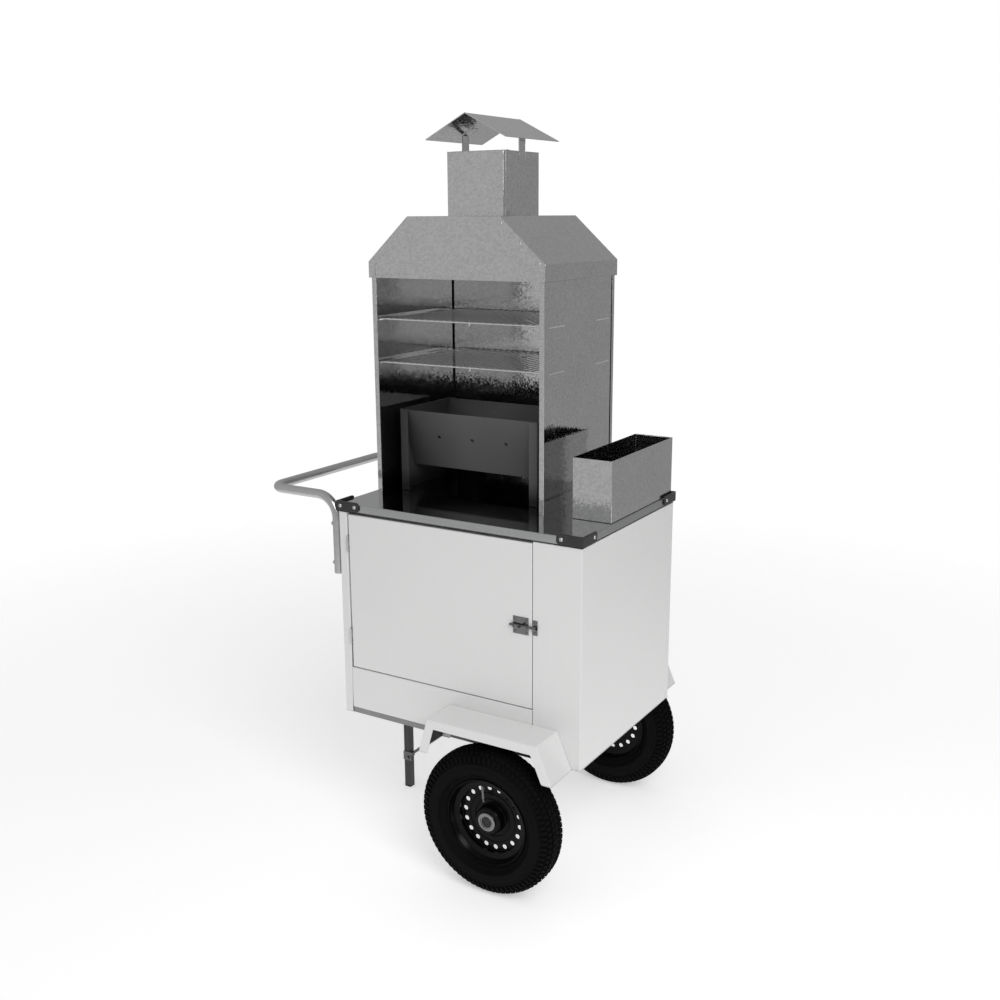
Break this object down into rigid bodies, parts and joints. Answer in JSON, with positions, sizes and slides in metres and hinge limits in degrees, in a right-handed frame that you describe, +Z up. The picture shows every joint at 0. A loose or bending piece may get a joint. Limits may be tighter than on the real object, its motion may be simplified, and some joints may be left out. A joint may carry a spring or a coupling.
{
  "type": "barbecue cart",
  "caption": "Barbecue cart: galvanised hood and chimney over grates and a firebox, on a white cabinet with a hinged door, push handle, support leg and pneumatic wheels.",
  "frame": {"origin": "on the ground under the middle of the whole cart's bounding box", "axes": "+X to the right along the door side, towards the bin; +Y from the door side to the back; +Z up"},
  "size_m": [0.9556, 0.747, 1.849],
  "materials": {
    "chassis_paint": "satin dark grey paint",
    "zinc_plated": "bright zinc plate",
    "rubber_foot": "matt black rubber",
    "cabinet_paint": "gloss white paint",
    "latch_chrome": "polished plate",
    "stainless_top": "polished stainless sheet",
    "guard_plastic": "matt black plastic",
    "handle_tube": "bright plated tube",
    "galvanised": "spangled galvanised sheet",
    "firebox_black": "black heat-proof paint",
    "grate_wire": "bright steel wire",
    "tyre_rubber": "black rubber",
    "rim_black": "gloss black paint",
    "cap_steel": "satin steel"
  },
  "bodies": {
    "cart": {"bottom_frame": "chassis_paint", "frame_posts": "chassis_paint", "top_frame": "chassis_paint", "axle_brackets": "chassis_paint", "support_leg": "chassis_paint", "axle": "zinc_plated", "leg_brace": "zinc_plated", "leg_bolt": "zinc_plated", "handle_bolts": "zinc_plated", "guard_screws": "zinc_plated", "hinge_frame_leaves": "zinc_plated", "hinge_pins": "zinc_plated", "leg_foot": "rubber_foot", "left_panel": "cabinet_paint", "right_panel": "cabinet_paint", "back_panel": "cabinet_paint", "lower_front_panel": "cabinet_paint", "floor_panel": "cabinet_paint", "fender_front": "cabinet_paint", "fender_back": "cabinet_paint", "latch_keeper": "latch_chrome", "worktop": "stainless_top", "guard_front_left": "guard_plastic", "guard_front_right": "guard_plastic", "guard_back_left": "guard_plastic", "guard_back_right": "guard_plastic", "push_handle": "handle_tube", "chamber_left_wall": "galvanised", "chamber_right_wall": "galvanised", "chamber_back_wall": "galvanised", "hood_shell": "galvanised", "hood_front": "galvanised", "hood_back": "galvanised", "chimney": "galvanised", "rivets": "galvanised", "cap_roof": "galvanised", "cap_straps": "galvanised"},
    "door": {"door_panel": "cabinet_paint", "hinge_door_leaves": "zinc_plated", "latch_plate": "latch_chrome"},
    "latch_bolt": {"latch_bolt": "latch_chrome"},
    "upper_grate": {"upper_grate": "grate_wire"},
    "lower_grate": {"lower_grate": "grate_wire"},
    "firebox": {"firebox_left_side": "firebox_black", "firebox_right_side": "firebox_black", "firebox_trough": "firebox_black"},
    "side_bin": {"side_bin": "galvanised"},
    "front_wheel": {"tyre_front": "tyre_rubber", "rim_front": "rim_black", "disc_front": "rim_black", "hub_front": "rim_black", "hub_cap_front": "cap_steel", "valve_front": "cap_steel"},
    "back_wheel": {"tyre_back": "tyre_rubber", "rim_back": "rim_black", "disc_back": "rim_black", "hub_back": "rim_black", "hub_cap_back": "cap_steel", "valve_back": "cap_steel"}
  },
  "joints": [
    {"name": "door_hinge", "type": "hinge", "parent": "cart", "child": "door", "pos_m": [-0.20225, -0.2602, 0.668], "axis": [0, 0, -1], "range_deg": [0, 170]},
    {"name": "latch_slide", "type": "slide", "parent": "door", "child": "latch_bolt", "axis": [1, 0, 0], "range_m": [-0.014, 0.011]},
    {"name": "upper_grate_slide", "type": "slide", "parent": "cart", "child": "upper_grate", "axis": [0, -1, 0], "range_m": [0, 0.37]},
    {"name": "lower_grate_slide", "type": "slide", "parent": "cart", "child": "lower_grate", "axis": [0, -1, 0], "range_m": [0, 0.37]},
    {"name": "firebox_slide", "type": "slide", "parent": "cart", "child": "firebox", "axis": [0, -1, 0], "range_m": [0, 0.195]},
    {"name": "bin_lift", "type": "slide", "parent": "cart", "child": "side_bin", "axis": [0, 0, 1], "range_m": [0, 0.2]},
    {"name": "front_wheel_spin", "type": "hinge", "parent": "cart", "child": "front_wheel", "pos_m": [0.26975, -0.3315, 0.188], "axis": [0, 1, 0], "continuous": true},
    {"name": "back_wheel_spin", "type": "hinge", "parent": "cart", "child": "back_wheel", "pos_m": [0.26975, 0.3315, 0.188], "axis": [0, 1, 0], "continuous": true}
  ]
}
